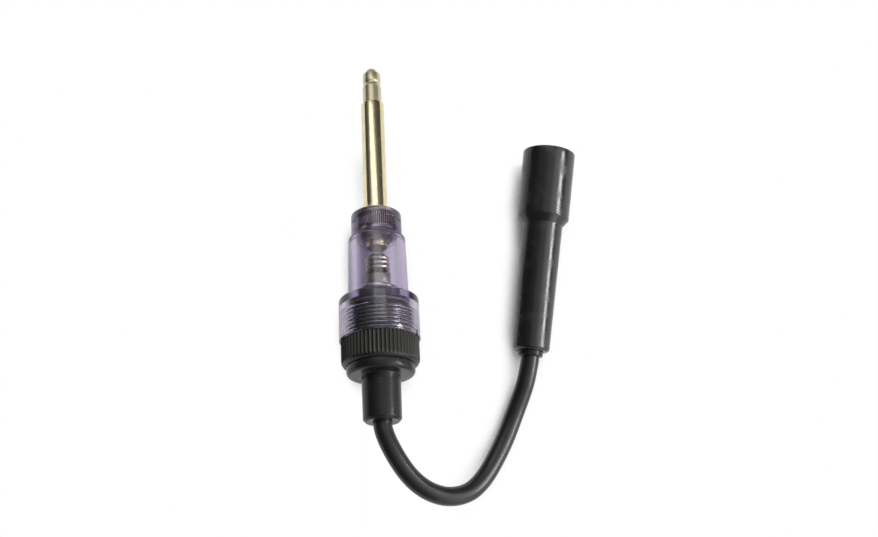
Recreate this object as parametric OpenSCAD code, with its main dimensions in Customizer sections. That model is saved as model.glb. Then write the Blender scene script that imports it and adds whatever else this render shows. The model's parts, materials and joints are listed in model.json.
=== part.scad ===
// In-line spark plug tester: a plated rod moulded into a clear spark chamber, a ribbed screw cap with
// the lower electrode, and a short lead to a rubber plug boot. It lies on a table, tip towards +Y.
// Millimetres. Each piece of the tester is drawn along its own axis, where height 0 is the barrel's open
// end and the tip is up, and is then laid down. The boot is drawn from its tail up to its mouth.

/* [Terminal tip] */
// Widest diameter of the head that a plug-lead clip snaps over
head_d = 6.35; // [6.2:0.05:6.5]
// Length of the head, from its crown to the clip groove
head_len = 6.5; // [5.5:0.1:8]
// Diameter of the crown on top of the head
crown_d = 4.6; // [4:0.1:5.4]
// Diameter at the bottom of the clip groove
groove_d = 5.9; // [5.5:0.05:6.1]
// Length of the clip groove
groove_len = 1; // [0.6:0.1:1.5]
// Diameter of the shank behind the groove
shank_d = 6.6; // [6.5:0.05:7]
// Length of the shank
shank_len = 7.2; // [5:0.1:10]

/* [Rod] */
// Diameter of the rod
rod_d = 8; // [7.4:0.1:9]
// Length of rod between the barrel and the shank
rod_len = 43.7; // [35:0.1:55]
// Diameter over the knurl that locks the rod in the barrel
lock_d = 8.8; // [8.6:0.1:10]
// Length of that knurl
lock_len = 5; // [3:0.1:6]
// Number of teeth in that knurl
lock_teeth = 46; // [36:1:56]
// Diameter of the rod's inner end, the upper electrode
upper_d = 6.9; // [6:0.1:7.2]
// How far the upper electrode stands out of its boss
upper_out = 1.9; // [1:0.1:2.4]

/* [Clear barrel] */
// Diameter of the collar round the rod
collar_d = 17; // [16:0.1:18.5]
// Length of the collar
collar_len = 9.3; // [8.5:0.1:12]
// Diameter of the tube where it meets the collar
tube_top_d = 19.1; // [18.6:0.1:19.8]
// Diameter of the tube where it meets the flange
tube_foot_d = 19.9; // [19.2:0.1:21]
// Length of the tube
tube_len = 21.5; // [20.5:0.1:26]
// Diameter of the flange
flange_d = 26.2; // [25.4:0.1:26.6]
// Length of the flange
flange_len = 14.2; // [13.5:0.1:16]
// Rounding of the collar's and the flange's upper edges
barrel_round = 1.1; // [0.5:0.1:1.5]
// Diameter of the spark chamber
chamber_d = 14; // [13:0.1:15]
// Height of the chamber's roof above the top of the tube
roof_rise = 0.7; // [0.2:0.1:2]
// Diameter of the boss that hangs from the roof round the upper electrode
boss_d = 9; // [8.4:0.1:10]
// Length of that boss
boss_len = 2.3; // [1.5:0.1:3]

/* [Thread] */
// Axial rise of one turn
thread_pitch = 1.3; // [1.2:0.05:1.4]
// Height of the ridges
thread_depth = 0.65; // [0.55:0.05:0.7]
// Turns of ridge on the cap and in the barrel
thread_turns = 6.5; // [5:0.5:6.5]
// Diameter of the barrel's bore at the foot of its ridges
thread_d = 22.2; // [21.8:0.1:22.6]
// Radial clearance between the two threads
thread_gap = 0.25; // [0.2:0.05:0.4]

/* [Knurled cap] */
// Diameter over the ribs
grip_d = 25.2; // [24.8:0.1:26]
// Length of the ribs
grip_len = 7.4; // [6:0.1:9]
// Number of ribs
ribs = 60; // [40:4:72]
// Depth of the grooves between the ribs
rib_depth = 0.4; // [0.3:0.05:0.5]
// Diameter of the rounded shoulder below the ribs
shoulder_d = 24.1; // [23.4:0.1:24.1]
// Length of that shoulder
shoulder_len = 1.2; // [0.8:0.1:2]
// How far the shoulder draws in
shoulder_in = 1; // [0.6:0.1:1.2]
// Length of the threaded spigot
spigot_len = 10.9; // [10.5:0.1:12]
// Bore of the cap
cap_bore_d = 16.4; // [16:0.1:16.8]

/* [Electrode carrier] */
// Length of the nose that centres the carrier in the chamber
nose_len = 4.8; // [3:0.1:5.4]
// Thickness of the flange that the spigot clamps
carrier_flange = 0.8; // [0.6:0.05:1]
// Depth of web that the post passes through
web_len = 9.6; // [6:0.1:11]
// Diameter of the hollow below the web
carrier_bore_d = 10.4; // [9.4:0.1:11.5]

/* [Lower electrode] */
// Spark gap between the two electrodes
spark_gap = 1.2; // [0.8:0.1:2]
// Diameter of the post
post_d = 5.4; // [4.8:0.1:5.5]
// Rounding of the post's tip
post_round = 1.8; // [1:0.1:2.2]
// Diameter of the post's threaded shank
stud_d = 4; // [3.4:0.1:4.1]
// Length of shank that stands below the nut
stud_out = 5.8; // [5:0.1:7]
// Depth of the cup in the shank's end, which takes the conductor
cup_depth = 4; // [2:0.1:4.5]
// Width of the nut across its flats
nut_af = 7; // [6.5:0.1:8]
// Thickness of the nut
nut_len = 3.2; // [2.5:0.1:4]
// Diameter of the wide washer on the carrier
base_washer_d = 12.8; // [11:0.1:12.9]
// Thickness of the wide washer
base_washer_len = 0.8; // [0.5:0.1:1.2]
// Diameter of the thick washer on it
post_washer_d = 8.8; // [8.6:0.1:11]
// Thickness of the thick washer
post_washer_len = 1.3; // [1:0.1:2]
// Diameter of the collar under the spring, and over the spring's coils
coil_d = 8.4; // [8.3:0.1:9]
// Diameter of the spring's wire
wire_d = 1.15; // [1:0.05:1.15]
// Rise of one coil
coil_pitch = 1.6; // [1.56:0.02:1.64]
// Number of coils
coils = 3.5; // [2.5:0.5:3.5]

/* [Strain relief] */
// Diameter of the hub
hub_d = 22; // [20:0.1:22.6]
// Length of the hub
hub_len = 3; // [2.6:0.1:4.5]
// Thickness of the hub's floor
hub_floor = 1.2; // [0.8:0.1:1.4]
// Rounding of the hub's edge
hub_round = 1.3; // [0.6:0.1:1.6]
// Diameter of the sleeve where it leaves the hub
sleeve_d = 12.6; // [11:0.1:14]
// Diameter of the sleeve at its end
sleeve_end_d = 12.3; // [10.5:0.1:12.6]
// Length of the sleeve
sleeve_len = 14.9; // [10:0.1:20]
// Chamfer of the sleeve's end
sleeve_chamfer = 0.8; // [0.4:0.1:1.2]

/* [Lead] */
// Outside diameter of the lead
lead_d = 6; // [5:0.1:6.4]
// Diameter of the conductor
conductor_d = 1.9; // [1.4:0.1:2.1]
// Length of jacket that stands clear above the ferrule
jacket_out = 1; // [0.5:0.1:1.5]
// Outside diameter of the crimped ferrule
ferrule_d = 8.8; // [7.6:0.1:9]
// Length of the ferrule
ferrule_len = 3; // [2:0.1:3.4]

/* [Plug boot] */
// Diameter of the mouth
mouth_d = 17.7; // [17:0.1:19]
// Diameter of the mouth section at its foot
mouth_foot_d = 17.3; // [17:0.1:19]
// Length of the mouth section
mouth_len = 23.4; // [20:0.1:28]
// Length of the slope from the mouth section to the body
slope_len = 2.5; // [1.5:0.1:4]
// Diameter of the body below the slope
body_top_d = 13.5; // [12.6:0.1:14.5]
// Diameter of the body at its tail
body_tail_d = 12.2; // [11:0.1:13]
// Length of the body
body_len = 43; // [41:0.1:50]
// Rounding of the tail
tail_round = 1.2; // [0.6:0.1:1.6]
// Bore of the mouth, for a plug's insulator
insulator_d = 12; // [10.5:0.1:13]
// Diameter of the hollow round the plug terminal
terminal_bore_d = 9.2; // [9:0.1:9.8]
// Length of lead gripped by the boot
boot_grip_len = 20; // [14:0.1:21]
// Outside diameter of the bush at the tail
bush_d = 8.2; // [7.4:0.1:9]
// How far the bush stands out of the tail
bush_out = 1.7; // [1:0.1:2.5]
// How far the bush reaches into the tail
bush_in = 3; // [2:0.1:5]
// Place of the boot's tail on the table, to the right of the tester
boot_x = 48.9; // [44:0.1:60]
// Place of the boot's tail along the tester
boot_y = -42; // [-50:0.1:-30]
// Heading of the boot, to the right of the tester's own
boot_turn = 9.5; // [0:0.5:20]

/* [Plug terminal] */
// Bore of the socket that grips a plug's terminal
socket_d = 6.4; // [6.35:0.05:6.5]
// Wall of the socket
socket_wall = 0.8; // [0.5:0.05:0.9]
// Depth of the socket
socket_len = 11; // [8:0.1:12]
// Thickness of the socket's floor
socket_floor = 1; // [0.6:0.1:1.5]
// Outside diameter of the crimp
crimp_d = 4.4; // [3.6:0.1:5]
// Width of the slots in the socket
slot_w = 0.8; // [0.5:0.1:1.2]
// Length of the slots
slot_len = 7; // [4:0.1:8]
// Thickness of the spring ring round the socket
ring_t = 0.8; // [0.5:0.1:0.9]

/* [Hidden] */
$fn = 64;

// Clearances: faces that are screwed together, a part that turns or slides in another, and a push fit
seat_gap = 0.05;
run_gap = 0.1;
push_gap = 0.05;
cut = 1;

// Heights along the tester's axis
flange_top = flange_len;
tube_top = flange_top + tube_len;
collar_top = tube_top + collar_len;
rod_step = collar_top + rod_len;
shank_top = rod_step + shank_len;
groove_top = shank_top + groove_len;
tip_top = groove_top + head_len;
roof = tube_top + roof_rise;
boss_end = roof - boss_len;
upper_end = boss_end - upper_out;
cap_top = -seat_gap;
grip_foot = cap_top - grip_len;
cap_foot = grip_foot - shoulder_len;
spigot_top = cap_top + spigot_len;
carrier_seat = spigot_top + seat_gap;
nose_foot = carrier_seat + carrier_flange;
thread_end = nose_foot + seat_gap;
nose_top = nose_foot + nose_len;
web_foot = nose_top - web_len;
base_washer_top = nose_top + base_washer_len;
post_washer_top = base_washer_top + post_washer_len;
post_top = upper_end - spark_gap;
spring_end = post_top - post_round - wire_d / 2;
coil_foot = spring_end - coil_pitch * coils;
spring_seat = coil_foot - wire_d;
stud_end = web_foot - nut_len - stud_out;
cup_top = stud_end + cup_depth;
hub_top = cap_foot - 2 * seat_gap;
hub_foot = hub_top - hub_len;
carrier_foot = hub_foot + hub_floor;
ferrule_top = carrier_foot + ferrule_len;
jacket_top = ferrule_top + jacket_out;
sleeve_end = hub_foot - sleeve_len;

// The head is widest at this share of its length, and bulges this far round an ellipse on each side of it
head_belly = 0.68;
belly_turn = 60;
belly_height = groove_top + head_len * (1 - head_belly);
belly_radii = [(head_d - groove_d) / 2, belly_height - groove_top];

// The tester lies on its flange's upper edge and, at rest_turn, on its head. Its box is centred on the origin
rest_turn = belly_turn * 2 / 3;
edge_rest = [flange_d / 2, flange_top - barrel_round];
head_rest = [groove_d / 2 + belly_radii[0] * cos(rest_turn), belly_height + belly_radii[1] * sin(rest_turn)];
lie = atan((edge_rest[0] - head_rest[0]) / (head_rest[1] - edge_rest[1]));
crown_r = crown_d / 2;
end_r = sleeve_end_d / 2 - sleeve_chamfer;
reach_tip = (tip_top - crown_r) * cos(lie) + crown_r;
reach_sleeve = sleeve_end * cos(lie) - end_r * sin(lie);
axis_y = -(reach_tip + reach_sleeve) / 2;
axis_z = edge_rest[0] * cos(lie) + edge_rest[1] * sin(lie);

// The boot lies on its tail and on the foot of its mouth section
mouth_foot = body_len + slope_len;
mouth_top = mouth_foot + mouth_len;
boot_lie = atan((mouth_foot_d - body_tail_d) / 2 / (mouth_foot - tail_round));
boot_z = body_tail_d / 2 * cos(boot_lie) - tail_round * sin(boot_lie);
bush_end = -bush_out;
socket_foot = body_len - socket_len;
crimp_foot = boot_grip_len;

function axis_at(h) = [0, axis_y + h * cos(lie), axis_z - h * sin(lie)];
function boot_at(h) = [
    boot_x + h * cos(boot_lie) * sin(boot_turn),
    boot_y + h * cos(boot_lie) * cos(boot_turn),
    boot_z + h * sin(boot_lie)
];

// Route of the free lead: straight out of the sleeve, down and round to the right, and into the bush
lead_straight = 0.8;
lead_bends = [
    [0.15, -66.3, 17.74], [0.7, -68.4, 17.88], [2.6, -73.0, 17.8], [4.7, -76.9, 17.2], [7.2, -80.6, 16.2],
    [10.3, -83.8, 14.9], [14.0, -86.2, 13.4], [18.1, -87.5, 11.7], [22.3, -87.5, 10.0], [26.4, -86.1, 8.3],
    [29.7, -83.4, 6.8], [32.5, -80.0, 5.5], [34.9, -76.3, 4.5], [37.2, -72.4, 3.8], [39.3, -68.4, 3.3],
    [41.2, -64.3, 3.1], [43.0, -60.3, 3.3], [44.8, -56.3, 3.9], [46.4, -52.3, 4.7], [47.6, -48.2, 5.4]
];
lead_route = concat(
    [axis_at(sleeve_end), axis_at(sleeve_end - lead_straight)],
    lead_bends,
    [boot_at(bush_end - lead_straight), boot_at(bush_end)]
);

function arc(centre, radii, from, to, steps = 5) = [
    for (i = [0:steps])
        let (turn = from + (to - from) * i / steps)
            [centre[0] + radii[0] * cos(turn), centre[1] + radii[1] * sin(turn)]
];
function unit(v) = v / norm(v);
function bisector(p, i) =
    i == 0 ? unit(p[1] - p[0])
    : i == len(p) - 1 ? unit(p[i] - p[i - 1])
    : unit(unit(p[i + 1] - p[i]) + unit(p[i] - p[i - 1]));
function carried(ways, i, side) =
    i == len(ways) ? []
    : let (here = unit(side - ways[i] * (side * ways[i])))
        concat([here], carried(ways, i + 1, here));

// A round tube along a path, its cross-section carried along without twist. No path starts along off_path.
off_path = [0.3, 0.2, 1];
module tube(path, d, sides) {
    ways = [for (i = [0:len(path) - 1]) bisector(path, i)];
    sideways = carried(ways, 0, cross(ways[0], off_path));
    points = [
        for (i = [0:len(path) - 1])
            for (k = [0:sides - 1])
                path[i] + d / 2 * (cos(360 * k / sides) * sideways[i]
                    + sin(360 * k / sides) * cross(ways[i], sideways[i]))
    ];
    last = (len(path) - 1) * sides;
    polyhedron(points, concat(
        [for (k = [1:sides - 2]) [0, k, k + 1]],
        [for (i = [0:len(path) - 2])
            for (k = [0:sides - 1])
                each skin(i * sides + k, i * sides + (k + 1) % sides, sides)],
        [for (k = [1:sides - 2]) [last, last + k + 1, last + k]]
    ), convexity = 8);
}
// The two triangles between neighbouring points of one ring and the next ring
function skin(a, b, step) = [[a, a + step, b], [b, a + step, b + step]];

// A ridge of trapezoid section wound on a helix, as a screw thread is
thread_steps = 20;
module ridge(foot_r, crest_r, foot_w, crest_w, from_turn, turns) {
    section = [[foot_r, -foot_w / 2], [crest_r, -crest_w / 2], [crest_r, crest_w / 2], [foot_r, foot_w / 2]];
    rings = round(turns * thread_steps);
    points = [
        for (i = [0:rings])
            let (turn = from_turn + i / thread_steps)
                for (p = section)
                    [p[0] * cos(360 * turn), p[0] * sin(360 * turn), p[1] + thread_pitch * turn]
    ];
    inward = crest_r < foot_r;
    last = rings * 4;
    faces = concat(
        [[0, 1, 2], [0, 2, 3]],
        [for (i = [0:rings - 1])
            for (k = [0:3])
                each skin(i * 4 + k, i * 4 + (k + 1) % 4, 4)],
        [[last, last + 2, last + 1], [last, last + 3, last + 2]]
    );
    polyhedron(points, [for (f = faces) inward ? f : [f[0], f[2], f[1]]], convexity = 8);
}

// A band of straight ribs, as a prism of saw-tooth outline
module ribbed_band(d, depth, count, length) {
    linear_extrude(length)
        polygon([
            for (i = [0:count - 1])
                for (half = [0, 1])
                    let (turn = 360 * (i + half / 2) / count)
                        (d / 2 - half * depth) * [cos(turn), sin(turn)]
        ]);
}
module ring(outer_d, inner_d, foot, top) {
    translate([0, 0, foot])
        difference() {
            cylinder(d = outer_d, h = top - foot);
            translate([0, 0, -cut])
                cylinder(d = inner_d, h = top - foot + 2 * cut);
        }
}
module rod_bar(d, foot, top) {
    translate([0, 0, foot])
        cylinder(d = d, h = top - foot);
}
module laid_down() {
    translate([0, axis_y, axis_z])
        rotate([-90 - lie, 0, 0])
            children();
}
module boot_laid() {
    translate([boot_x, boot_y, boot_z])
        rotate([boot_lie - 90, 0, -boot_turn])
            children();
}

// Rod: the terminal tip, the bar, the locking knurl and the upper electrode, all turned from one bar
crown_ledge = 0.5;
rod_chamfer = 0.5;
lock_cover = 0.4;
lock_floor = 0.1;
lock_top = collar_top - lock_cover;
lock_foot = lock_top - lock_len;
neck_len = 1.2;
neck_depth = 0.5;
neck_r = rod_d / 2 - neck_depth;
neck_foot = lock_foot - neck_len;
upper_len = 4.5;
upper_top = upper_end + upper_len;
upper_chamfer = 0.6;
module rod_profile() {
    polygon(concat(
        [[0, upper_end], [upper_d / 2 - upper_chamfer, upper_end], [upper_d / 2, upper_end + upper_chamfer]],
        [[upper_d / 2, upper_top], [rod_d / 2, upper_top + rod_chamfer], [rod_d / 2, neck_foot]],
        [[neck_r, neck_foot], [neck_r, lock_foot], [rod_d / 2, lock_foot]],
        [[rod_d / 2, rod_step - rod_chamfer], [shank_d / 2, rod_step]],
        [[shank_d / 2, shank_top - rod_chamfer], [groove_d / 2, shank_top], [groove_d / 2, groove_top]],
        arc([groove_d / 2, belly_height], belly_radii, -belly_turn, belly_turn, 6),
        [[crown_r + crown_ledge, tip_top - crown_r]],
        arc([0, tip_top - crown_r], [crown_r, crown_r], 0, 90, 8)
    ));
}
module terminal_rod() {
    color([0.78, 0.68, 0.42])
        laid_down() {
            rotate_extrude()
                rod_profile();
            translate([0, 0, lock_foot])
                ribbed_band(lock_d, (lock_d - rod_d) / 2 - lock_floor, lock_teeth, lock_len);
        }
}

// Barrel: clear plastic moulded round the rod, with the chamber and the internal thread below it
foot_sink = 0.4;
ridge_foot_w = 0.7;
ridge_crest_w = 0.25;
ridge_slope = (ridge_foot_w - ridge_crest_w) / thread_depth;
ridge_sunk_w = ridge_foot_w + ridge_slope * foot_sink;
first_turn = 1 / thread_pitch;
module barrel_outline() {
    polygon(concat(
        [[0, 0], [flange_d / 2, 0]],
        arc([flange_d / 2 - barrel_round, flange_top - barrel_round], [barrel_round, barrel_round], 0, 90),
        [[tube_foot_d / 2, flange_top], [tube_top_d / 2, tube_top], [collar_d / 2, tube_top]],
        arc([collar_d / 2 - barrel_round, collar_top - barrel_round], [barrel_round, barrel_round], 0, 90),
        [[0, collar_top]]
    ));
}
module chamber_outline() {
    polygon([
        [0, -cut], [thread_d / 2, -cut], [thread_d / 2, thread_end], [chamber_d / 2, thread_end],
        [chamber_d / 2, roof], [boss_d / 2, boss_end], [0, boss_end]
    ]);
}
module clear_barrel() {
    color([0.62, 0.58, 0.68, 0.45])
        laid_down() {
            difference() {
                rotate_extrude()
                    barrel_outline();
                rotate_extrude()
                    chamber_outline();
                rotate_extrude()
                    rod_profile();
                rod_bar(lock_d, lock_foot, lock_top);
            }
            rotate([0, 0, 180])
                ridge(thread_d / 2 + foot_sink, thread_d / 2 - thread_depth, ridge_sunk_w, ridge_crest_w,
                    first_turn, thread_turns);
        }
}

// Cap: a ring nut that turns on the carrier, its spigot threaded to the barrel's thread
spigot_d = thread_d - 2 * thread_depth - 2 * thread_gap;
shoulder_turn = 80;
module cap_outline() {
    polygon(concat(
        [[0, cap_foot], [shoulder_d / 2 - shoulder_in, cap_foot]],
        arc([shoulder_d / 2 - shoulder_in, grip_foot], [shoulder_in, shoulder_len], -shoulder_turn, 0),
        [[spigot_d / 2, grip_foot], [spigot_d / 2, spigot_top], [0, spigot_top]]
    ));
}
module knurled_cap() {
    color([0.12, 0.12, 0.11])
        laid_down()
            difference() {
                union() {
                    rotate_extrude()
                        cap_outline();
                    translate([0, 0, grip_foot])
                        ribbed_band(grip_d, rib_depth, ribs, grip_len);
                    ridge(spigot_d / 2 - foot_sink, spigot_d / 2 + thread_depth, ridge_sunk_w, ridge_crest_w,
                        first_turn, thread_turns);
                }
                rod_bar(cap_bore_d, cap_foot - cut, spigot_top + cut);
            }
}

// Carrier: insulating bush between the cap and the post, with a flange that the spigot clamps
carrier_d = cap_bore_d - 2 * run_gap;
nose_d = chamber_d - 2 * run_gap;
carrier_flange_d = thread_d - 2 * thread_depth - 4 * thread_gap;
module electrode_carrier() {
    color([0.20, 0.20, 0.21])
        laid_down()
            difference() {
                union() {
                    rod_bar(carrier_d, carrier_foot, carrier_seat);
                    rod_bar(carrier_flange_d, carrier_seat, nose_foot);
                    rod_bar(nose_d, nose_foot, nose_top);
                }
                rod_bar(carrier_bore_d, carrier_foot - cut, web_foot);
                rod_bar(stud_d + 2 * push_gap, web_foot - cut, nose_top + cut);
            }
}

// Lower electrode: the post, what it clamps to the carrier, and the spring coiled round it
module post_profile() {
    polygon(concat(
        [[0, stud_end], [stud_d / 2, stud_end], [stud_d / 2, post_washer_top], [post_d / 2, post_washer_top]],
        arc([post_d / 2 - post_round, post_top - post_round], [post_round, post_round], 0, 90),
        [[0, post_top]]
    ));
}
module electrode_post() {
    color([0.80, 0.72, 0.52])
        laid_down()
            difference() {
                rotate_extrude()
                    post_profile();
                rod_bar(conductor_d + 2 * push_gap, stud_end - cut, cup_top);
            }
}
module post_nut() {
    color([0.72, 0.72, 0.70])
        laid_down()
            translate([0, 0, web_foot - nut_len])
                difference() {
                    cylinder(d = nut_af / cos(30), h = nut_len, $fn = 6);
                    translate([0, 0, -cut])
                        cylinder(d = stud_d + 2 * push_gap, h = nut_len + 2 * cut);
                }
}
module base_washer() {
    color([0.72, 0.72, 0.70])
        laid_down()
            ring(base_washer_d, stud_d + 2 * push_gap, nose_top, base_washer_top);
}
module post_washer() {
    color([0.80, 0.79, 0.75])
        laid_down()
            ring(post_washer_d, stud_d + 2 * push_gap, base_washer_top, post_washer_top);
}
module spring_collar() {
    color([0.70, 0.66, 0.55])
        laid_down()
            ring(coil_d, post_d + 2 * push_gap, post_washer_top, spring_seat);
}

// Spring: up from the collar, round the post, and in to it
rings_per_coil = 8;
coil_r = (coil_d - wire_d) / 2;
spring_path = concat(
    [[coil_r, 0, spring_seat]],
    [for (i = [0:round(coils * rings_per_coil)])
        let (turn = i / rings_per_coil)
            [coil_r * cos(360 * turn), coil_r * sin(360 * turn), coil_foot + coil_pitch * turn]],
    [[post_d / 2 * cos(360 * coils), post_d / 2 * sin(360 * coils), spring_end]]
);
spring_gap = min([
    for (i = [0:len(spring_path) - 1])
        for (j = [i + rings_per_coil / 2:1:len(spring_path) - 1])
            norm(spring_path[i] - spring_path[j])
]) - wire_d;
echo(spring_least_gap_mm = spring_gap);
module contact_spring() {
    color([0.74, 0.64, 0.40])
        laid_down()
            tube(spring_path, wire_d, 6);
}

// Strain relief: a hub pushed on the carrier's foot, and the sleeve that the lead comes out of
module strain_relief() {
    color([0.11, 0.11, 0.11])
        laid_down()
            difference() {
                rotate_extrude()
                    polygon(concat(
                        [[0, sleeve_end], [end_r, sleeve_end]],
                        [[sleeve_end_d / 2, sleeve_end + sleeve_chamfer], [sleeve_d / 2, hub_foot]],
                        arc([hub_d / 2 - hub_round, hub_foot + hub_round], [hub_round, hub_round], -90, 0),
                        [[hub_d / 2, hub_top], [0, hub_top]]
                    ));
                rod_bar(carrier_d + 2 * push_gap, carrier_foot, hub_top + cut);
                rod_bar(lead_d + 2 * push_gap, sleeve_end - cut, carrier_foot + cut);
            }
}

// Lead: the ends inside the tester and the boot, the free stretch, and the ferrule that stops it
module cable_ferrule() {
    color([0.70, 0.68, 0.62])
        laid_down()
            ring(ferrule_d, lead_d + 2 * push_gap, carrier_foot, ferrule_top);
}
module conductor_cap_end() {
    color([0.72, 0.45, 0.28])
        laid_down()
            rod_bar(conductor_d, jacket_top, cup_top);
}
module lead_cap_end() {
    color([0.09, 0.09, 0.09])
        laid_down()
            rod_bar(lead_d, sleeve_end, jacket_top);
}
module lead() {
    color([0.09, 0.09, 0.09])
        tube(lead_route, lead_d, 10);
}
module lead_boot_end() {
    color([0.09, 0.09, 0.09])
        boot_laid()
            rod_bar(lead_d, bush_end, boot_grip_len);
}
module conductor_boot_end() {
    color([0.72, 0.45, 0.28])
        boot_laid()
            rod_bar(conductor_d, boot_grip_len, socket_foot - socket_floor);
}

// Boot: rubber, with the bush in its tail and the plug terminal inside
mouth_round = 0.5;
module boot_outline() {
    polygon(concat(
        [[0, 0]],
        arc([body_tail_d / 2 - tail_round, tail_round], [tail_round, tail_round], -90, 0),
        [[body_top_d / 2, body_len], [mouth_foot_d / 2, mouth_foot]],
        arc([mouth_d / 2 - mouth_round, mouth_top - mouth_round], [mouth_round, mouth_round], 0, 90, 3),
        [[0, mouth_top]]
    ));
}
module plug_boot() {
    color([0.07, 0.07, 0.07])
        boot_laid()
            difference() {
                rotate_extrude()
                    boot_outline();
                rod_bar(bush_d + 2 * push_gap, -cut, bush_in);
                rod_bar(lead_d + 2 * push_gap, -cut, boot_grip_len + cut);
                rod_bar(terminal_bore_d, boot_grip_len, body_len + cut);
                rod_bar(insulator_d, body_len, mouth_top + cut);
            }
}
module boot_bush() {
    color([0.13, 0.13, 0.13])
        boot_laid()
            ring(bush_d, lead_d + 2 * push_gap, bush_end, bush_in);
}
socket_outer_d = socket_d + 2 * socket_wall;
module plug_terminal() {
    color([0.76, 0.74, 0.68])
        boot_laid()
            difference() {
                union() {
                    rod_bar(crimp_d, crimp_foot, socket_foot);
                    rod_bar(socket_outer_d, socket_foot - socket_floor, body_len);
                }
                rod_bar(socket_d, socket_foot, body_len + cut);
                rod_bar(conductor_d + 2 * push_gap, crimp_foot - cut, socket_foot - socket_floor);
                for (turn = [0, 90])
                    rotate([0, 0, turn])
                        translate([-socket_outer_d, -slot_w / 2, body_len - slot_len])
                            cube([2 * socket_outer_d, slot_w, slot_len + cut]);
            }
}
ring_height = body_len - slot_len / 2;
ring_air = 0.2;
module terminal_ring() {
    color([0.66, 0.66, 0.66])
        boot_laid()
            ring(terminal_bore_d - 2 * ring_air, socket_outer_d + 2 * push_gap,
                ring_height, ring_height + ring_t);
}

terminal_rod();
clear_barrel();
knurled_cap();
electrode_carrier();
electrode_post();
post_nut();
base_washer();
post_washer();
spring_collar();
contact_spring();
strain_relief();
cable_ferrule();
conductor_cap_end();
lead_cap_end();
lead();
plug_boot();
boot_bush();
lead_boot_end();
conductor_boot_end();
plug_terminal();
terminal_ring();
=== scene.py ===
import json
import math

import bmesh
import bpy
from mathutils import Matrix, Vector


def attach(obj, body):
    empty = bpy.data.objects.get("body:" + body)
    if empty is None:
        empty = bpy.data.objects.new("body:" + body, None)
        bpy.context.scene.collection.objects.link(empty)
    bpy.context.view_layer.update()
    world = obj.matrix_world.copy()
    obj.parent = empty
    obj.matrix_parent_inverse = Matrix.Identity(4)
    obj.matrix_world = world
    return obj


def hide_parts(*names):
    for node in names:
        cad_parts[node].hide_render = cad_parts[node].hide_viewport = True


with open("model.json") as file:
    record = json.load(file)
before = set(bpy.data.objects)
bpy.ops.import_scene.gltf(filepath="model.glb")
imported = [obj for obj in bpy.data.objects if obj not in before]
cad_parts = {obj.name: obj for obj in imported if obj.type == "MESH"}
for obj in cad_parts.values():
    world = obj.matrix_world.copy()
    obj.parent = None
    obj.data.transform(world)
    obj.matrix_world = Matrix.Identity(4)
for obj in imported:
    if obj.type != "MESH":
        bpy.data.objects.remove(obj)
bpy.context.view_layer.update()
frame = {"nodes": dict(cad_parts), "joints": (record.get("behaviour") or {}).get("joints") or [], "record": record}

# Camera: held high over the table on the lead's side, looking down along the tester to its tip.
# Its place was fitted to the edges in the photograph, which is 878 pixels wide.
picture_width = 878
focal_pixels = 1050
camera_heading = math.radians(2.187)
camera_elevation = math.radians(73.484)
camera_roll = math.radians(-0.912)
camera_aim = Vector((0.0204, -0.01023, 0))
camera_reach = 0.35964
level = math.cos(camera_elevation)
look = Vector((math.sin(camera_heading) * level, math.cos(camera_heading) * level, 0))
look.z = -math.sin(camera_elevation)
camera = bpy.data.objects.new("camera", bpy.data.cameras.new("camera"))
camera.data.sensor_width = 36
camera.data.lens = camera.data.sensor_width * focal_pixels / picture_width
camera.matrix_world = (
    Matrix.Translation(camera_aim - camera_reach * look)
    @ look.to_track_quat("-Z", "Y").to_matrix().to_4x4()
    @ Matrix.Rotation(camera_roll, 4, "Z")
)
bpy.context.scene.collection.objects.link(camera)
bpy.context.scene.camera = camera


# Lead: a short high-tension cable in a matt black jacket. It comes straight out of the tester's sleeve,
# drops to the table in one loose bend and runs into the boot's tail. Its two ends are held in those pieces.
class Wire:
    """A socket in a material's node tree. Sums on it add Math nodes to that tree."""

    def __init__(self, tree, socket=None):
        self.tree = tree
        self.socket = socket

    def node(self, kind, settings, inputs, output=0):
        """A new node. Its settings are made first, then its inputs take values or wires."""
        made = self.tree.nodes.new(kind)
        for name, value in settings.items():
            setattr(made, name, value)
        for name, value in inputs.items():
            if isinstance(value, Wire):
                self.tree.links.new(value.socket, made.inputs[name])
            else:
                made.inputs[name].default_value = value
        return Wire(self.tree, made.outputs[output])

    def maths(self, operation, *values):
        """A Math node on the given values, of which this wire may be one."""
        return self.node("ShaderNodeMath", {"operation": operation}, dict(enumerate(values)))

    def __add__(self, other):
        return self.maths("ADD", self, other)

    def __radd__(self, other):
        return self.maths("ADD", other, self)

    def __sub__(self, other):
        return self.maths("SUBTRACT", self, other)

    def __rsub__(self, other):
        return self.maths("SUBTRACT", other, self)

    def __mul__(self, other):
        return self.maths("MULTIPLY", self, other)

    def __rmul__(self, other):
        return self.maths("MULTIPLY", other, self)


def new_finish(name, fixed):
    """A material with one Principled shader, whose fixed values go straight on its sockets."""
    material = bpy.data.materials.new(name)
    material.use_nodes = True
    shader = material.node_tree.nodes["Principled BSDF"]
    for socket, value in fixed.items():
        shader.inputs[socket].default_value = value
    return material, shader, Wire(material.node_tree)


def feed(shader, wires):
    """Links wires to a shader's sockets."""
    for socket, wire in wires.items():
        wire.tree.links.new(wire.socket, shader.inputs[socket])


def cloud(place, scale, detail=3.0):
    """Soft noise from 0 to 1, with so many lumps in a metre."""
    return place.node("ShaderNodeTexNoise", {}, {"Vector": place, "Scale": scale, "Detail": detail})


def between(wire, low, high):
    """0 below low, 1 above high, and eased from one to the other."""
    settings = {"interpolation_type": "SMOOTHSTEP"}
    return wire.node("ShaderNodeMapRange", settings, {"Value": wire, "From Min": low, "From Max": high})


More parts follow.
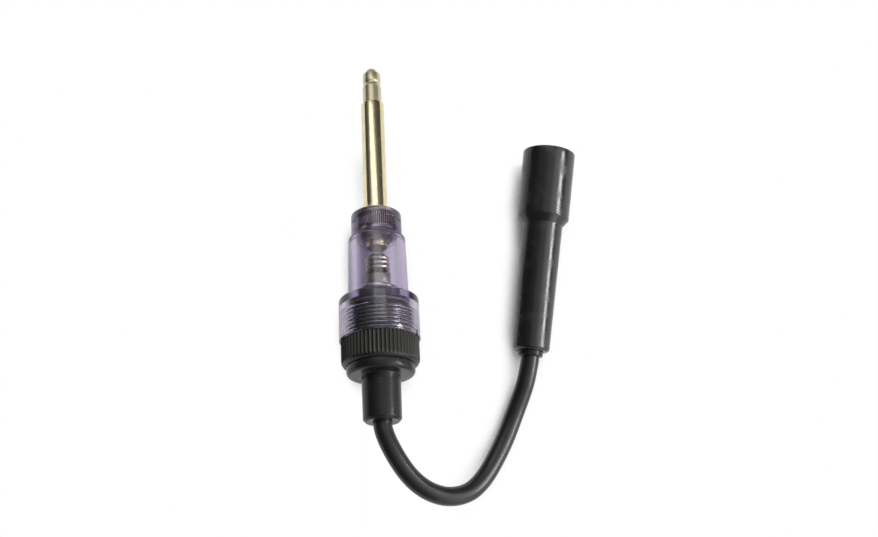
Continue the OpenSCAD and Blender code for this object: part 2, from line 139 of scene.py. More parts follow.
def blended(share, one, other):
    """A colour that goes from one to the other with the share."""
    return share.node("ShaderNodeMix", {"data_type": "RGBA"}, {0: share, 6: one, 7: other}, 2)


def specks(place, scale, share):
    """Small round specks in a share of the cells of an uneven grid."""
    settings = {"feature": "F1"}
    inputs = {"Vector": place, "Scale": scale}
    near = place.node("ShaderNodeTexVoronoi", settings, inputs, "Distance")
    chance = place.node("ShaderNodeTexVoronoi", settings, inputs, "Color")
    picked = place.node("ShaderNodeSeparateColor", {}, {"Color": chance}, "Red")
    return between(picked, 1 - share, 1 - share * 0.9) * (1 - between(near, 0.12, 0.22))


def raised(height, distance):
    """A bump of so many metres for a height from 0 to 1."""
    return height.node("ShaderNodeBump", {}, {"Distance": distance, "Height": height}, "Normal")


def off_axis(place):
    """How many millimetres a point is from the piece's own axis."""
    level = place.node("ShaderNodeVectorMath", {"operation": "MULTIPLY"}, {0: place, 1: (1, 1, 0)})
    return 1000 * place.node("ShaderNodeVectorMath", {"operation": "LENGTH"}, {0: level}, "Value")


def black_finish(name, dark, worn, roughness, grain, grain_height, specular=0.5, rub_and_highlight=None, matt=0.06):
    """Black plastic or rubber: fine grain, scuffs that are a little paler and so much more matt, and dust.
    Between two distances from its axis it goes over to a paler tone: partly wear, partly a painted
    highlight."""
    material, shader, start = new_finish(name, {"Specular IOR Level": specular})
    place = start.node("ShaderNodeTexCoord", {}, {}, "Object")
    scuffs = between(cloud(place, 190, 5), 0.42, 0.72)
    dust = specks(place, 420, 0.006)
    colour = blended(scuffs * 0.6, (*dark, 1), (*worn, 1))
    # Painted highlight and wear: a paler tone between two distances from the axis.
    if rub_and_highlight:
        colour = blended(between(off_axis(place), *rub_and_highlight), colour, (0.042, 0.043, 0.034, 1))
    feed(shader, {
        "Base Color": blended(dust, colour, (0.20, 0.20, 0.18, 1)),
        "Roughness": roughness + matt * scuffs + 0.3 * dust,
        "Normal": raised(cloud(place, grain, 4), grain_height),
    })
    return material


def as_piece(name, mesh, place=Matrix()):
    """The finished mesh as a smooth object, its hard edges kept, in its place."""
    hard_edge = math.radians(38)
    bmesh.ops.recalc_face_normals(mesh, faces=mesh.faces)
    data = bpy.data.meshes.new(name)
    mesh.to_mesh(data)
    mesh.free()
    data.shade_smooth()
    data.set_sharp_from_angle(angle=hard_edge)
    made = bpy.data.objects.new(name, data)
    made.matrix_world = place
    bpy.context.scene.collection.objects.link(made)
    return made


def smooth_route(points, steps):
    """Points on a smooth curve through the given ones, so many steps between neighbours."""
    spans = [(end - start).length for start, end in zip(points, points[1:])]
    ways = [(end - start).normalized() for start, end in zip(points, points[1:])]
    leans = [ways[0]]
    for i in range(1, len(spans)):
        leans.append((ways[i - 1] * spans[i] + ways[i] * spans[i - 1]) / (spans[i - 1] + spans[i]))
    leans.append(ways[-1])
    route = []
    for i, span in enumerate(spans):
        for k in range(steps):
            t = k / steps
            ends = (2 * t ** 3 - 3 * t ** 2 + 1) * points[i] + (3 * t ** 2 - 2 * t ** 3) * points[i + 1]
            bows = (t ** 3 - 2 * t ** 2 + t) * leans[i] + (t ** 3 - t ** 2) * leans[i + 1]
            route.append(ends + span * bows)
    return [*route, points[-1]]


def bent_bar(name, path, radius, sides, place=Matrix()):
    """A round bar along a path, closed at both ends."""
    mesh = bmesh.new()
    rings = []
    side = Vector((0.3, 0.2, 1))
    for i, point in enumerate(path):
        way = (path[min(i + 1, len(path) - 1)] - path[max(i - 1, 0)]).normalized()
        side = (side - way * side.dot(way)).normalized()
        turns = [2 * math.pi * k / sides for k in range(sides)]
        spokes = [math.cos(turn) * side + math.sin(turn) * way.cross(side) for turn in turns]
        rings.append([mesh.verts.new(point + radius * spoke) for spoke in spokes])
    for ring, following in zip(rings, rings[1:]):
        for k in range(sides):
            mesh.faces.new((ring[k - 1], ring[k], following[k], following[k - 1]))
    mesh.faces.new(rings[0])
    mesh.faces.new(rings[-1])
    return as_piece(name, mesh, place)


lead_d = 0.006
lead_route = [
    (0, -0.064307, 0.017533), (0, -0.0651018, 0.0176239), (0.00015, -0.0663, 0.01774),
    (0.0007, -0.0684, 0.01788), (0.0026, -0.073, 0.0178), (0.0047, -0.0769, 0.0172),
    (0.0072, -0.0806, 0.0162), (0.0103, -0.0838, 0.0149), (0.014, -0.0862, 0.0134),
    (0.0181, -0.0875, 0.0117), (0.0223, -0.0875, 0.01), (0.0264, -0.0861, 0.0083),
    (0.0297, -0.0834, 0.0068), (0.0325, -0.08, 0.0055), (0.0349, -0.0763, 0.0045),
    (0.0372, -0.0724, 0.0038), (0.0393, -0.0684, 0.0033), (0.0412, -0.0643, 0.0031),
    (0.043, -0.0603, 0.0033), (0.0448, -0.0563, 0.0039), (0.0464, -0.0523, 0.0047),
    (0.0476, -0.0482, 0.0054), (0.0484881, -0.0444616, 0.0058773), (0.0486199, -0.0436739, 0.0059233),
]
lead_path = smooth_route([Vector(point) for point in lead_route], steps=4)
jacket = black_finish(
    "matt_jacket", (0.014, 0.0145, 0.0138), (0.022, 0.0225, 0.0212),
    roughness=0.28, grain=2600, grain_height=0.00002, specular=0.4,
)
lead = bent_bar("free_lead", lead_path, lead_d / 2, sides=32)
lead.data.materials.append(jacket)
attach(lead, "cable_end")
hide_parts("lead")


# Terminal rod: steel bar turned to a plug terminal at the tip, with a locking knurl where the barrel is
# moulded round it, plated yellow. Its inner end is the upper electrode.
def upright(foot, way):
    """A place whose own height runs along way, with its side level."""
    across = way.cross(Vector((0, 0, 1))).normalized()
    return Matrix.Translation(foot) @ Matrix((across, way.cross(across), way)).transposed().to_4x4()


def eased(corners, steps=5):
    """An outline of (radius, height) points. A corner with a third number is rounded to that radius."""
    outline = []
    for i, (radius, height, *fillet) in enumerate(corners):
        here = Vector((radius, height))
        if not fillet:
            outline.append((radius, height))
            continue
        back = Vector(corners[i - 1][:2]) - here
        ahead = Vector(corners[(i + 1) % len(corners)][:2]) - here
        half = back.angle(ahead) / 2
        setback = fillet[0] / math.tan(half)
        start, end = here + setback * back.normalized(), here + setback * ahead.normalized()
        for k in range(steps + 1):
            t = k / steps
            shares = (1 - t) ** 2, 2 * t * (1 - t) * math.sin(half), t ** 2
            point = (shares[0] * start + shares[1] * here + shares[2] * end) / sum(shares)
            outline.append((point.x, point.y))
    return outline


def arc(centre, radii, first, last, steps):
    """Points on part of an ellipse, from the first to the last angle in degrees."""
    turns = [math.radians(first + (last - first) * k / steps) for k in range(steps + 1)]
    return [(centre[0] + radii[0] * math.cos(t), centre[1] + radii[1] * math.sin(t)) for t in turns]


def finely(outline, step):
    """The outline with points added, so that none are further apart than a step."""
    fine = []
    for start, end in zip(outline, outline[1:]):
        count = max(1, math.ceil(math.dist(start, end) / step))
        fine += [tuple(Vector(start).lerp(Vector(end), k / count)) for k in range(count)]
    return [*fine, outline[-1]]


def turned(name, outline, place, sides=96, shape=None):
    """A piece turned from a closed outline in millimetres. Where it isn't round, shape gives its radius.
    No two rings are far apart, so a rounded edge doesn't bend the shading of the long stretch beside it."""
    ring_gap = 2
    mesh = bmesh.new()
    rings = []
    for radius, height in finely(outline, ring_gap):
        ring = []
        for k in range(sides if radius > 0 else 1):
            turn = 2 * math.pi * k / sides
            reach = shape(radius, height, turn) if shape else radius
            corner = Vector((reach * math.cos(turn), reach * math.sin(turn), height)) / 1000
            ring.append(mesh.verts.new(corner))
        rings.append(ring)
    for ring, following in zip(rings, rings[1:] + rings[:1]):
        for k in range(sides if len(ring) + len(following) > 2 else 0):
            corners = [ring[k % len(ring)], ring[(k + 1) % len(ring)]]
            corners += [following[(k + 1) % len(following)], following[k % len(following)]]
            mesh.faces.new(dict.fromkeys(corners))
    return as_piece(name, mesh, place)


def metal_finish(name, bright, dull, roughness, bands=(), painted_valley_shade=None):
    """Turned and plated metal: fine rings from the tool, duller patches and pits. A band from one height to
    another, in millimetres, has a colour of its own and is so much rougher. Painted shade darkens a knurl
    between its foot and top, from the floor of its teeth nearly to their crests."""
    blur = 0.2
    material, shader, start = new_finish(name, {"Metallic": 1.0})
    place = start.node("ShaderNodeTexCoord", {}, {}, "Object")
    patches = between(cloud(place, 240, 4), 0.35, 0.70)
    stretch = {0: place, 1: (150.0, 150.0, 9000.0)}
    rings = cloud(place.node("ShaderNodeVectorMath", {"operation": "MULTIPLY"}, stretch), 1.0, 2)
    pits = specks(place, 1300, 0.05)
    colour = blended(patches * 0.8, (*bright, 1), (*dull, 1))
    colour = blended(pits * 0.6, colour, (0.24, 0.19, 0.11, 1))
    matt = roughness + 0.05 * patches + 0.2 * pits
    height = 1000 * place.node("ShaderNodeSeparateXYZ", {}, {"Vector": place}, "Z")
    for foot, top, tone, extra in bands:
        above = between(height, foot - blur, foot + blur)
        share = above * (1 - between(height, top - blur, top + blur))
        colour = blended(share, colour, (*tone, 1))
        matt = matt + extra * share
    # Painted shade: the knurl is darkened in the valleys between its teeth.
    if painted_valley_shade:
        foot, top, floor, crest = painted_valley_shade
        share = between(height, foot, foot + blur) * (1 - between(height, top - blur, top))
        valleys = 1 - between(off_axis(place), floor, crest)
        colour = blended(share * valleys, colour, (0.02, 0.018, 0.02, 1))
    feed(shader, {"Base Color": colour, "Roughness": matt, "Normal": raised(rings, 0.0000003)})
    return material


turning = next(joint for joint in frame["joints"] if joint["name"] == "cap_turn")
tester_place = upright(Vector(turning["pos_m"]), -Vector(turning["axis"]).normalized())
rod_r = 4.0
shank_r = 3.3
groove_r = 2.95
head_r = 3.175
crown_r = 2.3
upper_r = 3.45
neck_r = 3.5
lock_r = 4.4
lock_floor_r = 4.25
lock_teeth = 46
lock_foot, lock_top = 39.6, 44.6
upper_end, upper_top = 32.2, 36.7
neck_foot = 38.4
rod_step, shank_top, groove_top, belly, tip_top = 88.7, 95.9, 96.9, 98.98, 103.4
rod_outline = eased([
    (0, upper_end), (upper_r, upper_end, 0.25), (upper_r, upper_top, 0.1), (rod_r, upper_top + 0.5, 0.2),
    (rod_r, neck_foot, 0.1), (neck_r, neck_foot), (neck_r, lock_foot), (rod_r, lock_foot),
    (lock_r, lock_foot + 0.3), (lock_r, lock_top - 0.3), (rod_r, lock_top),
    (rod_r, rod_step - 0.5, 0.15), (shank_r, rod_step), (shank_r, shank_top - 0.5, 0.2),
    (groove_r, shank_top), (groove_r, groove_top),
    *arc((groove_r, belly), (head_r - groove_r, belly - groove_top), -60, 60, 10),
    (crown_r + 0.5, tip_top - crown_r),
    *arc((0, tip_top - crown_r), (crown_r, crown_r), 0, 88, 10),
    (0, tip_top),
])


def knurled(radius, height, turn):
    """The rod's radius: teeth in the locking knurl, round elsewhere."""
    if not lock_foot < height < lock_top:
        return radius
    return lock_floor_r + (radius - lock_floor_r) * (0.5 + 0.5 * math.cos(turn * lock_teeth))


# Painted shade: a dark tone for the electrode's end face and for the post inside the spring.
painted_shade_tone = (0.05, 0.045, 0.05)
# Painted shade on the end face and inside the boss, a greyer neck and knurl, a duller worn tip.
plating_bands = [
    (upper_end - 1, upper_end + 0.1, painted_shade_tone, 0.4), (upper_end + 3, neck_foot, (0.16, 0.14, 0.14), 0.25),
    (neck_foot, lock_top + 0.4, (0.66, 0.60, 0.52), 0.08), (rod_step, tip_top + 1, (0.62, 0.56, 0.39), 0.18),
]
# Painted shade in the knurl's valleys, from their floor nearly to the crests.
knurl_valley_shade = (lock_foot + 0.1, lock_top - 0.1, lock_floor_r + 0.05, lock_r - 0.02)
plating = metal_finish(
    "yellow_plating", (0.80, 0.70, 0.46), (0.66, 0.58, 0.36),
    roughness=0.14, bands=plating_bands, painted_valley_shade=knurl_valley_shade,
)
rod = turned("plated_rod", rod_outline, tester_place, lock_teeth * 8, knurled)
rod.data.materials.append(plating)
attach(rod, "barrel")
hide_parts("terminal_rod")


# Barrel: clear plastic with a smoky purple tint, moulded round the rod. Collar, tube and flange are outside;
# inside are the spark chamber, the boss round the upper electrode and the thread that takes the cap.
pitch = 1.3
thread_depth = 0.65
thread_turns = 6.5
first_turn = 1 / pitch
last_turn = first_turn + thread_turns
run_out_turns = 0.25
ridge_half_width = 0.42


def ridge(height, turn):
    """How far the thread's ridge stands up, from 0 to 1, at a height along the axis and a turn round it."""
    along = height / pitch
    wound = round(along - turn / (2 * math.pi)) + turn / (2 * math.pi)
    from_end = min(wound - first_turn, last_turn - wound)
    run_out = max(0.0, min(1.0, from_end / run_out_turns))
    across = min(1.0, abs(along - wound) * pitch / ridge_half_width)
    return run_out * (0.5 + 0.5 * math.cos(math.pi * across))


bore_r = 11.1
thread_end = 11.75
chamber_r = 7.0
roof, boss_end, boss_r = 36.4, 34.1, 4.5
collar_top, tube_top, flange_top = 45.0, 35.7, 14.2
collar_r, tube_top_r, tube_foot_r, flange_r = 8.5, 9.55, 9.95, 13.1
rod_hole_r = upper_r - 0.1
thread_step = 0.065
wall_slack = 0.01
barrel_outline = eased([
    *finely([(bore_r, 0), (bore_r, thread_end)], thread_step),
    (chamber_r, thread_end, 0.15), (chamber_r, roof, 0.3), (boss_r, boss_end, 0.3),
    (rod_hole_r, boss_end), (rod_hole_r, collar_top),
    (collar_r, collar_top, 1.1), (collar_r, tube_top, 0.12), (tube_top_r, tube_top, 0.35),
    (tube_foot_r, flange_top, 0.2), (flange_r, flange_top, 1.1), (flange_r, 0, 0.2),
], steps=8)
chips = [(277, 5, 0.35), (303, 4, 0.25), (335, 7, 0.4)]
chip_height = 0.5


def threaded_bore(radius, height, turn):
    """The barrel's radius: its bore draws in on the thread's ridge, and its lower edge is chipped."""
    if abs(radius - bore_r) < wall_slack and height < thread_end:
        return radius - thread_depth * ridge(height, turn - math.pi)
    if radius > flange_r - 0.5 and height < chip_height:
        for middle, spread, depth in chips:
            bite = max(0.0, 1 - abs(math.degrees(turn) - middle) / spread)
            radius -= depth * bite * (1 - height / chip_height)
    return radius


def clear_finish():
    """Clear plastic that lets lamps through to what is inside it, with faint flow lines and scuffs."""
    fixed = {"Transmission Weight": 1.0, "IOR": 1.49, "Base Color": (1, 1, 1, 1)}
    material, shader, start = new_finish("smoky_clear_plastic", fixed)
    place = start.node("ShaderNodeTexCoord", {}, {}, "Object")
    scuffs = between(cloud(place, 420, 6), 0.60, 0.80)
    stretch = {0: place, 1: (260.0, 260.0, 60.0)}
    flow = cloud(place.node("ShaderNodeVectorMath", {"operation": "MULTIPLY"}, stretch), 1.0, 2)
    feed(shader, {"Roughness": 0.14 + 0.08 * scuffs, "Normal": raised(flow, 0.000004)})
    shadow = start.node("ShaderNodeLightPath", {}, {}, "Is Shadow Ray")
    clear = start.node("ShaderNodeBsdfTransparent", {}, {"Color": (0.74, 0.72, 0.78, 1)})
    body = Wire(start.tree, shader.outputs[0])
    mixed = start.node("ShaderNodeMixShader", {}, {0: shadow, 1: body, 2: clear})
    smoke = start.node("ShaderNodeVolumeAbsorption", {}, {"Color": (0.40, 0.30, 0.54, 1), "Density": 165.0})
    feed(start.tree.nodes["Material Output"], {"Surface": mixed, "Volume": smoke})
    return material


barrel = turned("clear_shell", barrel_outline, tester_place, 160, threaded_bore)
barrel.data.materials.append(clear_finish())
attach(barrel, "barrel")
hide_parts("clear_barrel")


# Carrier: dark moulded bush that insulates the lower electrode from the cap. Its flange is clamped between
# the cap's spigot and the barrel, and its nose stands in the foot of the spark chamber.
carrier_foot, web_foot, rim_foot, rim_top, nose_top = -10.55, 6.9, 10.9, 11.7, 16.5
carrier_r, carrier_bore_r, rim_r, nose_r, stem_hole_r = 8.1, 5.2, 9.95, 6.9, 2.05
carrier_corners = [
    (carrier_bore_r, carrier_foot), (carrier_r, carrier_foot, 0.3), (carrier_r, rim_foot),
    (rim_r, rim_foot, 0.15), (rim_r, rim_top, 0.15), (nose_r, rim_top), (nose_r, nose_top, 0.4),
    (stem_hole_r, nose_top), (stem_hole_r, web_foot), (carrier_bore_r, web_foot),
]
carrier = turned("electrode_bush", eased(carrier_corners), tester_place)
insulator = black_finish(
    "moulded_insulator", (0.10, 0.10, 0.10), (0.15, 0.15, 0.145),
    roughness=0.35, grain=2200, grain_height=0.00002,
)
carrier.data.materials.append(insulator)
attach(carrier, "cable_end")
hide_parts("electrode_carrier")


# Lower electrode: a turned brass post with a rounded tip. Two bright washers sit under its shoulder, and a
# nut behind the carrier's web clamps them all. The conductor is crimped in the cup at its foot.
def dress_solid(node, material):
    """Gives its material to a solid that is hidden and shows as it was built."""
    frame["nodes"][node].data.materials.clear()
    frame["nodes"][node].data.materials.append(material)


post_foot, cup_floor, wide_washer_top, post_shoulder, post_top = -2.1, 1.9, 17.3, 18.6, 31.0
cup_r, stem_r, post_r, wide_washer_r, thick_washer_r = 1.0, 2.0, 2.7, 6.4, 4.4
post_corners = [
    (0, cup_floor), (cup_r, cup_floor), (cup_r, post_foot), (stem_r, post_foot, 0.3), (stem_r, post_shoulder),
    (post_r, post_shoulder), (post_r, post_top, 1.8), (0, post_top),
]
post = turned("brass_post", eased(post_corners), tester_place, 64)
# Painted shade: the post is dark below its rounded tip, where the spring closes round it.
post_painted_shade = [(post_foot - 1, post_top - 1.6, painted_shade_tone, 0.4)]
brass = metal_finish("turned_brass", (0.76, 0.70, 0.56), (0.60, 0.54, 0.42), 0.22, post_painted_shade)
post.data.materials.append(brass)
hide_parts("electrode_post")
bright_steel = metal_finish("bright_steel", (0.80, 0.79, 0.76), (0.62, 0.60, 0.56), 0.20)
wide_corners = [
    (stem_hole_r, nose_top), (wide_washer_r, nose_top, 0.15),
    (wide_washer_r, wide_washer_top, 0.25), (stem_hole_r, wide_washer_top),
]
base_washer = turned("wide_washer", eased(wide_corners), tester_place, 64)
thick_corners = [
    (stem_hole_r, wide_washer_top), (thick_washer_r, wide_washer_top, 0.2),
    (thick_washer_r, post_shoulder, 0.4), (stem_hole_r, post_shoulder),
]
post_washer = turned("thick_washer", eased(thick_corners), tester_place, 64)
for washer, node in ((base_washer, "base_washer"), (post_washer, "post_washer")):
    washer.data.materials.append(bright_steel)
    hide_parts(node)
dress_solid("post_nut", bright_steel)

# Contact spring: plated steel wire coiled round the post and turned in to touch it near the tip. It stands
# on a plain collar of the same metal, pushed on the post.
wire_d = 1.15
coil_r = 3.625
coil_pitch = 1.6
coils = 3.5
coil_foot = 23.025
spring_seat = 21.875
steps_per_coil = 28
spring_path = [Vector((coil_r, 0, spring_seat)), Vector((coil_r, 0, coil_foot - wire_d / 2))]
for step in range(round(coils * steps_per_coil) + 1):
    turn = 2 * math.pi * step / steps_per_coil
    rise = coil_foot + coil_pitch * step / steps_per_coil
    spring_path.append(Vector((coil_r * math.cos(turn), coil_r * math.sin(turn), rise)))
spring_path.append(Vector((-post_r, 0, coil_foot + coil_pitch * coils)))
spring = bent_bar("coil_spring", [point / 1000 for point in spring_path], wire_d / 2000, 16, tester_place)
spring_metal = metal_finish("spring_plating", (0.70, 0.66, 0.54), (0.52, 0.48, 0.38), 0.24)
spring.data.materials.append(spring_metal)
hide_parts("contact_spring")
seat_bore_r, seat_r = 2.75, 4.2
seat_corners = [
    (seat_bore_r, post_shoulder), (seat_r, post_shoulder, 0.1), (seat_r, spring_seat, 0.3),
    (seat_bore_r, spring_seat),
]
spring_collar = turned("spring_seat_collar", eased(seat_corners), tester_place, 64)
collar_metal = metal_finish("dull_collar_plating", (0.36, 0.34, 0.26), (0.28, 0.26, 0.20), 0.42)
spring_collar.data.materials.append(collar_metal)
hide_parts("spring_collar")
for part in (post, base_washer, post_washer, spring, spring_collar):
    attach(part, "cable_end")

# Cap: black moulded ring nut that turns on the carrier. Sixty fine ribs give the grip and run out on a
# rounded shoulder above the sleeve's hub, and the spigot's thread draws the cap into the barrel.
ribs = 60
grip_r, groove_floor_r = 12.6, 12.2
cap_bore_r, cap_foot_r, shoulder_r = 8.2, 11.1, 10.9
cap_top, shoulder_top, cap_foot = -0.05, -6.6, -8.65
rib_step = 1.5
cap_outline = eased([
    (cap_bore_r, cap_foot), (cap_bore_r, cap_top), (grip_r, cap_top, 0.2),
    *finely([(grip_r, cap_top - 0.6), (grip_r, shoulder_top + 0.1)], rib_step),
    *arc((shoulder_r, shoulder_top), (grip_r - shoulder_r, shoulder_top - cap_foot), 0, -80, 12),
    (cap_foot_r, cap_foot),
])


def ribbed(radius, height, turn):
    """The cap's radius: narrow ribs stand out from wide grooves, and run out on the shoulder."""
    if radius <= groove_floor_r:
        return radius
    return groove_floor_r + (radius - groove_floor_r) * (0.5 + 0.5 * math.cos(turn * ribs)) ** 2


# The rib crests go paler, partly worn and partly a painted highlight.
crest_rub_and_highlight = (groove_floor_r + 0.1, grip_r - 0.04)
cap_plastic = black_finish(
    "cap_plastic", (0.010, 0.0105, 0.0086), (0.018, 0.0187, 0.015),
    roughness=0.40, grain=1800, grain_height=0.00004, specular=0.35, rub_and_highlight=crest_rub_and_highlight,
)
cap = turned("ribbed_cap", cap_outline, tester_place, ribs * 12, ribbed)
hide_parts("knurled_cap")
spigot_r = 10.2
spigot_foot, spigot_top = -1.0, 10.85
spigot_outline = [
    (cap_bore_r, spigot_foot), *finely([(spigot_r, spigot_foot), (spigot_r, spigot_top - 0.3)], thread_step),
    (spigot_r - 0.3, spigot_top), (cap_bore_r, spigot_top),
]


def threaded_spigot(radius, height, turn):
    """The spigot's radius: the ridge of the thread stands out from it."""
    return radius + thread_depth * ridge(height, turn) if abs(radius - spigot_r) < wall_slack else radius


spigot = turned("cap_thread", spigot_outline, tester_place, 128, threaded_spigot)
for part in (cap, spigot):
    part.data.materials.append(cap_plastic)
    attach(part, "cap")

# Strain relief: black rubber moulded in one, a flanged hub pushed on the carrier's foot and a plain sleeve
# with a chamfered end. The ferrule crimped on the lead bears on the hub's floor and stops it pulling out.
hub_top, hub_foot, sleeve_end = -8.75, -11.75, -26.65
hub_r, hub_bore_r, sleeve_r, sleeve_end_r, lead_bore_r = 11.0, 8.15, 6.3, 6.15, 3.05
relief_corners = [
    (hub_bore_r, carrier_foot), (lead_bore_r, carrier_foot), (lead_bore_r, sleeve_end, 0.3),
    (sleeve_end_r - 0.8, sleeve_end, 0.2), (sleeve_end_r, sleeve_end + 0.8, 0.5),
    (sleeve_r, hub_foot, 0.5), (hub_r, hub_foot, 1.3), (hub_r, hub_top, 0.15), (hub_bore_r, hub_top),
]
sleeve_rubber = black_finish(
    "sleeve_rubber", (0.0145, 0.0155, 0.0142), (0.020, 0.021, 0.019),
    roughness=0.26, grain=1500, grain_height=0.00003, specular=0.25,
)
relief = turned("sleeve_and_hub", eased(relief_corners), tester_place)
relief.data.materials.append(sleeve_rubber)
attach(relief, "cable_end")
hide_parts("strain_relief")
tinned_brass = metal_finish("tinned_brass", (0.78, 0.75, 0.68), (0.58, 0.54, 0.46), 0.28)
copper = metal_finish("copper_strands", (0.72, 0.42, 0.27), (0.50, 0.27, 0.17), 0.32)
dress_solid("cable_ferrule", tinned_brass)
dress_solid("conductor_cap_end", copper)
jacket_r = lead_d * 500
jacket_top = -6.55
cap_tail_corners = [(0, sleeve_end), (jacket_r, sleeve_end), (jacket_r, jacket_top, 0.3), (0, jacket_top)]
cap_tail = turned("lead_in_sleeve", eased(cap_tail_corners), tester_place, 32)
cap_tail.data.materials.append(jacket)
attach(cap_tail, "cable_end")
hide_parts("lead_cap_end")

# Boot: glossy black rubber moulded in one, a wide mouth for a plug's insulator over a slim tapered body.
# Inside it the lead's conductor is crimped to a slotted spring socket with a ring round it.
body_len, mouth_foot, mouth_top = 43.0, 45.5, 68.9
tail_r, body_r, mouth_foot_r, mouth_r = 6.1, 6.75, 8.65, 8.85
mouth_bore_r, socket_bore_r, bush_seat_r = 6.0, 4.6, 4.15
bush_foot, bush_top, jacket_end = -1.7, 3.0, 20.0
mouth = next(mount for mount in frame["record"]["mounts"] if mount["name"] == "boot_mouth")
boot_way = Vector(mouth["axis"]).normalized()
mouth_middle = (body_len + mouth_top) / 2000
boot_place = upright(Vector(mouth["pos_m"]) - mouth_middle * boot_way, boot_way)
boot_corners = [
    (bush_seat_r, bush_top), (bush_seat_r, 0, 0.2), (tail_r, 0, 1.2), (body_r, body_len, 0.4),
    (mouth_foot_r, mouth_foot, 0.6), (mouth_r, mouth_top, 0.5), (mouth_bore_r, mouth_top, 0.4),
    (mouth_bore_r, body_len, 0.3), (socket_bore_r, body_len, 0.2), (socket_bore_r, jacket_end),
    (lead_bore_r, jacket_end), (lead_bore_r, bush_top),
]
boot = turned("rubber_boot", eased(boot_corners), boot_place)
boot_rubber = black_finish(
    "boot_rubber", (0.0155, 0.0167, 0.0155), (0.020, 0.0215, 0.0198),
    roughness=0.17, grain=500, grain_height=0.00002, matt=0.18,
)
boot.data.materials.append(boot_rubber)
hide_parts("plug_boot")
boot_tail_corners = [(0, bush_foot), (jacket_r, bush_foot), (jacket_r, jacket_end, 0.3), (0, jacket_end)]
boot_tail = turned("lead_in_boot", eased(boot_tail_corners), boot_place, 32)
boot_tail.data.materials.append(jacket)
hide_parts("lead_boot_end")


# Bush: a thin rubber ring round the lead, pressed into the boot's tail to close the gap there. The edge that
# stands out was left ragged. With it comes the metal inside the boot.
bush_r = 4.1
tear_depth = 0.16


def ragged(radius, height, turn):
    """The bush's radius: its free edge is torn unevenly."""
    tear = 0.5 * math.sin(3 * turn + 0.6) + 0.3 * math.sin(7 * turn) + 0.2 * math.sin(17 * turn + 2.0)
    torn = height < 0 and radius > (lead_bore_r + bush_r) / 2
    return radius - tear_depth * (0.5 + 0.5 * tear) if torn else radius


bush_corners = [
    (lead_bore_r, bush_top), (lead_bore_r, bush_foot), (bush_r, bush_foot, 0.3), (bush_r, bush_top),
]
bush = turned("ragged_bush", eased(bush_corners), boot_place, 96, ragged)
bush.data.materials.append(sleeve_rubber)
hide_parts("boot_bush")
for part in (boot, boot_tail, bush):
    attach(part, "cable_end")
inner_metals = {"conductor_boot_end": copper, "plug_terminal": tinned_brass, "terminal_ring": bright_steel}
for node, metal in inner_metals.items():
    dress_solid(node, metal)


# Table: a wide plain white top that the tester lies on. Beside and under the pieces it is lit and shaded as
# any white surface is. In the open it is plain white, to the eye and in metal and clear plastic alike.
def table_finish():
    """Matt white that goes over to plain white. To the camera it does so where nothing stands near, where the
    side that faces the window is open, and beyond the boot's mouth. To mirrored and bent rays it does so on
    that open side."""
    material, shader, start = new_finish("white_table", {"Roughness": 0.9, "Specular IOR Level": 0.0})
    place = start.node("ShaderNodeTexCoord", {}, {}, "Object")
    feed(shader, {"Base Color": blended(cloud(place, 30, 3), (0.92, 0.92, 0.92, 1), (0.95, 0.95, 0.95, 1))})
    seen = start.node("ShaderNodeLightPath", {}, {}, "Is Camera Ray")
    shone = start.node("ShaderNodeLightPath", {}, {}, "Is Glossy Ray")
    through = start.node("ShaderNodeLightPath", {}, {}, "Is Transmission Ray")
    near, far = 0.009, 0.03
    to_window = start.node("ShaderNodeCombineXYZ", {}, {"X": 0.5, "Y": 0.0, "Z": 0.866})
    beside, around, lit_side = [
        start.node("ShaderNodeAmbientOcclusion", {"samples": 8}, inputs, "AO")
        for inputs in ({"Distance": near}, {"Distance": far}, {"Distance": far, "Normal": to_window})
    ]
    beyond = between(place.node("ShaderNodeSeparateXYZ", {}, {"Vector": place}, "Y"), 0.018, 0.036)
    clear = between(beside, 0.50, 0.92) + 0.5 * between(around, 0.45, 0.95)
    clear = clear.maths("MAXIMUM", clear, between(lit_side, 0.58, 0.80))
    to_camera = seen * clear.maths("MAXIMUM", clear, beyond)
    to_others = shone.maths("MAXIMUM", shone, through) * between(lit_side, 0.35, 0.68)
    lit = Wire(start.tree, shader.outputs[0])
    white = start.node("ShaderNodeEmission", {}, {"Color": (1, 1, 1, 1), "Strength": 1.0})
    both = start.node("ShaderNodeMixShader", {}, {0: to_camera + to_others, 1: lit, 2: white})
    feed(start.tree.nodes["Material Output"], {"Surface": both})
    return material


table_radius = 60
table_mesh = bmesh.new()
bmesh.ops.create_circle(table_mesh, cap_ends=True, radius=table_radius, segments=64)
table = as_piece("table_top", table_mesh)
table.data.materials.append(table_finish())


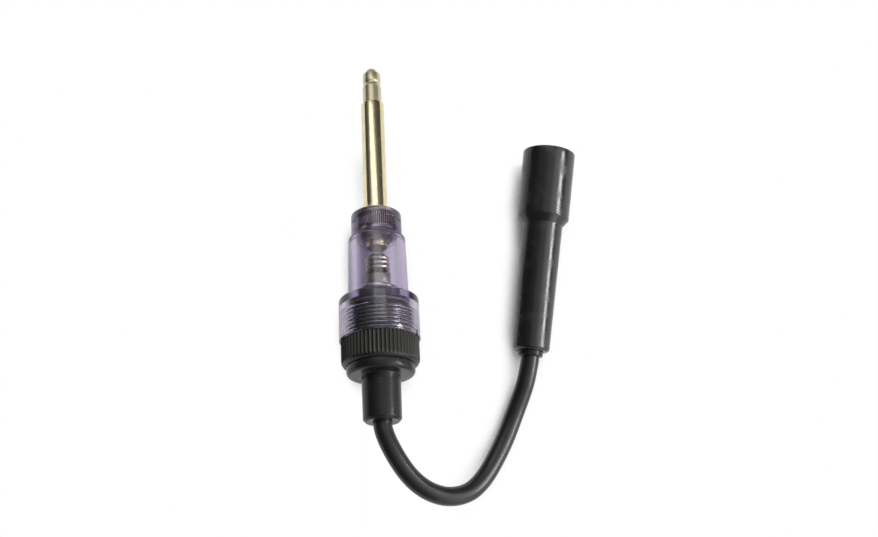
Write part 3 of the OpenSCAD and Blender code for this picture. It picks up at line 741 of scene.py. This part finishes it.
# Light: two pale panels overhead beyond the tip, a low bright window strip on the boot's side that draws the
# long highlights, and a dim room that glows softly above that side, in front of it and beyond the tip.
def panel(name, place, way, size, spin, brightness):
    """An even rectangular panel of so many metres, turned about its own middle, and not seen itself."""
    lamp = bpy.data.lights.new(name, "AREA")
    lamp.shape = "RECTANGLE"
    lamp.size, lamp.size_y = size
    lamp.energy = brightness * math.pi * size[0] * size[1]
    made = bpy.data.objects.new(name, lamp)
    aim = (-way).to_track_quat("-Z", "Y").to_matrix().to_4x4()
    made.matrix_world = Matrix.Translation(place) @ aim @ Matrix.Rotation(math.radians(spin), 4, "Z")
    made.visible_camera = False
    bpy.context.scene.collection.objects.link(made)


overhead = Vector((0, 0, 1))
panel("overhead_panel", Vector((-0.15, 0.75, 1)), overhead, (1.2, 0.30), spin=-21.7, brightness=1.6)
panel("near_panel", Vector((0.12, 0.62, 1)), overhead, (0.66, 0.24), spin=0, brightness=3.0)
strip_place = Vector((0.915, -0.075, 0.396))
panel("window_strip", strip_place, strip_place.normalized(), (0.62, 0.20), spin=20.5, brightness=16.0)
room = bpy.data.worlds.new("dim_room")
room.use_nodes = True
sky = Wire(room.node_tree)
sky_way = sky.node("ShaderNodeTexCoord", {}, {}, "Generated")
room_light = 0.07
room_glows = [
    ((0.45, -0.15, 0.88), 50, 25, 0.5), ((0.74, 0.0, 0.67), 30, 10, 1.3), ((0.80, -0.50, 0.25), 38, 16, 1.8),
    ((0.40, -0.90, 0.12), 25, 8, 1.0), ((-0.25, 0.70, 0.67), 35, 10, 0.3),
]
for middle, edge, core, brightness in room_glows:
    towards = {0: sky_way, 1: Vector(middle).normalized()}
    near = sky.node("ShaderNodeVectorMath", {"operation": "DOT_PRODUCT"}, towards, "Value")
    rim, heart = math.cos(math.radians(edge)), math.cos(math.radians(core))
    room_light = room_light + brightness * between(near, rim, heart)
feed(room.node_tree.nodes["Background"], {"Strength": room_light})
room.node_tree.nodes["Background"].inputs["Color"].default_value = (1, 1, 1, 1)
bpy.context.scene.world = room
bpy.context.scene.view_settings.view_transform = "Standard"
